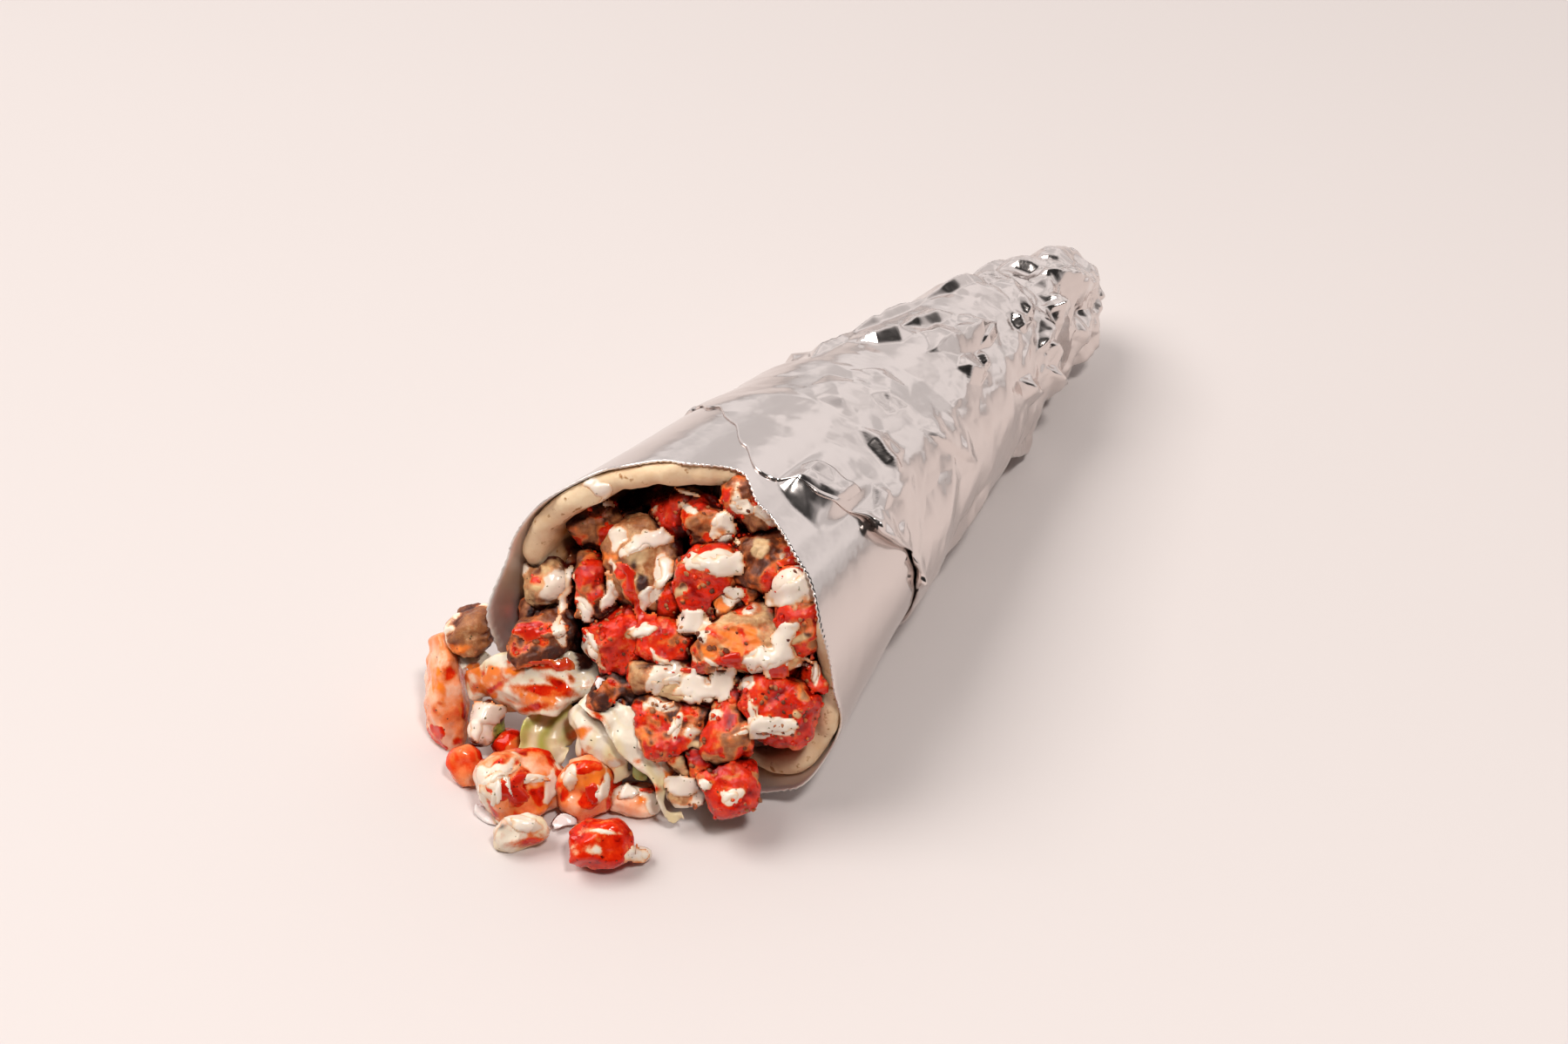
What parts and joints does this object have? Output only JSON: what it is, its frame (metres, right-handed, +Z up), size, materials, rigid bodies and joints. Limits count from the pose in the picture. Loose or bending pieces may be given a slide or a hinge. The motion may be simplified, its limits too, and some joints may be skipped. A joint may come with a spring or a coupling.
{
  "type": "chicken gyro",
  "caption": "Chicken gyro lying on its side: a pita rolled round sauced chicken, tomato and lettuce in a crumpled foil wrap, spilling from its mouth.",
  "frame": {"origin": "bottom centre of the box round the whole, on the surface that it lies on", "axes": "+Y from the open mouth to the pinched foil tail, +Z up, +X to the right when looking from the mouth to the tail"},
  "size_m": [0.1038, 0.2524, 0.0767],
  "materials": {
    "foil": "crumpled, shiny",
    "pita": "soft baked crust, matte",
    "chicken_browned": "browned and moist",
    "chicken_red_sauced": "wet with red sauce",
    "chicken_white_sauced": "coated with creamy white sauce",
    "filling": "dark and moist",
    "tomato": "wet cut flesh",
    "lettuce": "pale leaf, slightly waxy",
    "cucumber": "wet cut flesh with green skin",
    "onion": "thin and translucent",
    "carrot": "moist"
  },
  "bodies": {
    "root": {"foil_wrap": "foil", "pita": "pita", "filling_core": "filling", "tomato_front": "tomato", "tomato_sauced": "tomato", "pickle_front": "cucumber", "tomato_middle": "tomato", "tomato_pink": "tomato", "tomato_left": "tomato", "tomato_slice": "tomato", "tomato_dark": "tomato", "cucumber_left": "cucumber", "cucumber_front": "cucumber", "onion_front": "onion", "onion_left": "onion", "onion_middle": "onion", "carrot_strip": "carrot", "lettuce_ribbon": "lettuce", "lettuce_arch": "lettuce", "lettuce_inner": "lettuce", "lettuce_scrap": "lettuce", "lettuce_big": "lettuce", "chicken_grey_cube": "chicken_browned", "chicken_lip_right": "chicken_red_sauced", "chicken_lip_sauced": "chicken_white_sauced", "chicken_lip_cube": "chicken_red_sauced", "chicken_pale_cube": "chicken_white_sauced", "chicken_glossy_right": "chicken_red_sauced", "chicken_charred": "chicken_browned", "chicken_pale_red": "chicken_red_sauced", "chicken_dark_left": "chicken_browned", "chicken_cream_band": "chicken_white_sauced", "chicken_right_edge": "chicken_red_sauced", "chicken_big_cut": "chicken_browned", "chicken_middle_left": "chicken_red_sauced", "chicken_middle": "chicken_red_sauced", "chicken_middle_right": "chicken_red_sauced", "chicken_far_right": "chicken_red_sauced", "chicken_right_sauced": "chicken_red_sauced", "chicken_ring": "chicken_white_sauced", "chicken_dark_middle": "chicken_red_sauced", "chicken_sauced_block": "chicken_red_sauced", "chicken_small_red": "chicken_red_sauced", "chicken_tilted_pale": "chicken_white_sauced", "chicken_left_red": "chicken_red_sauced", "chicken_left_pale": "chicken_white_sauced", "chicken_left_crumb": "chicken_browned", "chicken_right_dark": "chicken_browned", "chicken_red_dab": "chicken_red_sauced", "chicken_roasted_top": "chicken_browned", "chicken_olive_top": "chicken_browned", "chicken_white_top": "chicken_red_sauced", "chicken_top_right": "chicken_browned", "chicken_top_strip": "chicken_browned"}
  },
  "joints": []
}
